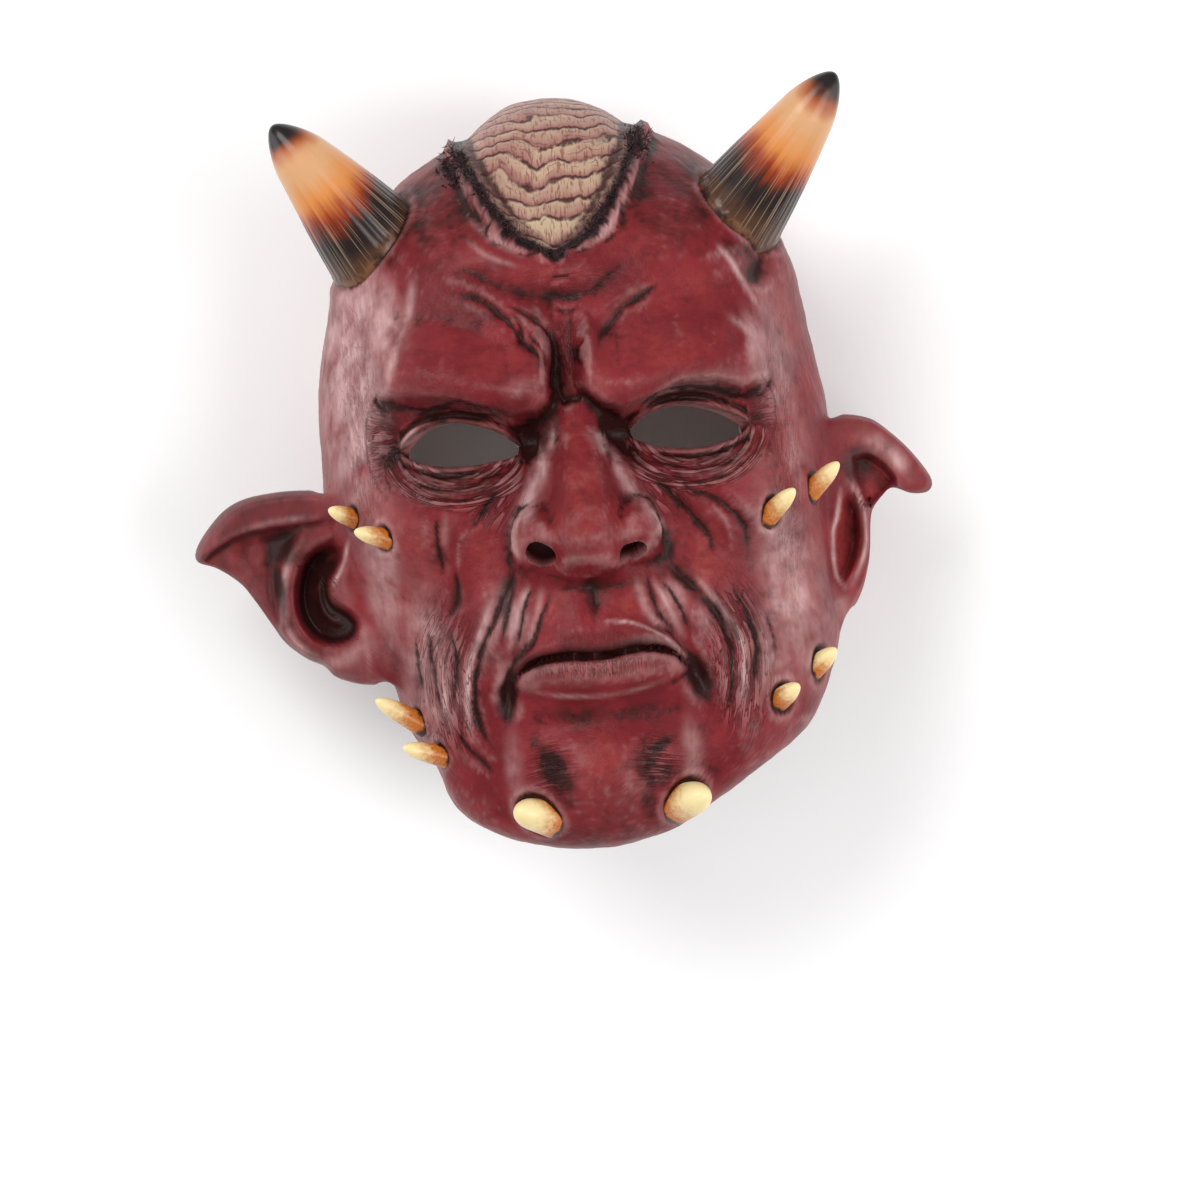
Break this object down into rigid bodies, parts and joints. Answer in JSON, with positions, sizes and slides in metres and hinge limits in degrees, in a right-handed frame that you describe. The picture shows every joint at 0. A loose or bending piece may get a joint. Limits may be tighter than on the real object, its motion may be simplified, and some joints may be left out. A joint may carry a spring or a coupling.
{
  "type": "horned devil mask",
  "caption": "Hollow moulded devil mask that covers the face, ears and crown, open at the back and neck, with eye and nose holes, glued horns and small bone spikes.",
  "frame": {"origin": "middle of the footprint, on the plane that the back rim lies on", "axes": "+Z out of the face, +Y towards the crown, +X towards the wearer's left"},
  "size_m": [0.2499, 0.2529, 0.151],
  "materials": {
    "skin": "satin painted latex",
    "horn": "glossy painted latex",
    "spike": "glossy painted latex"
  },
  "bodies": {
    "root": {"mask_shell": "skin", "horn_right": "horn", "horn_left": "horn", "cheek_spike_right_inner": "spike", "cheek_spike_right_outer": "spike", "cheek_spike_left_inner": "spike", "cheek_spike_left_outer": "spike", "jaw_spike_right_upper": "spike", "jaw_spike_right_lower": "spike", "jaw_spike_left_upper": "spike", "jaw_spike_left_lower": "spike", "chin_spike_right": "spike", "chin_spike_left": "spike"}
  },
  "joints": []
}
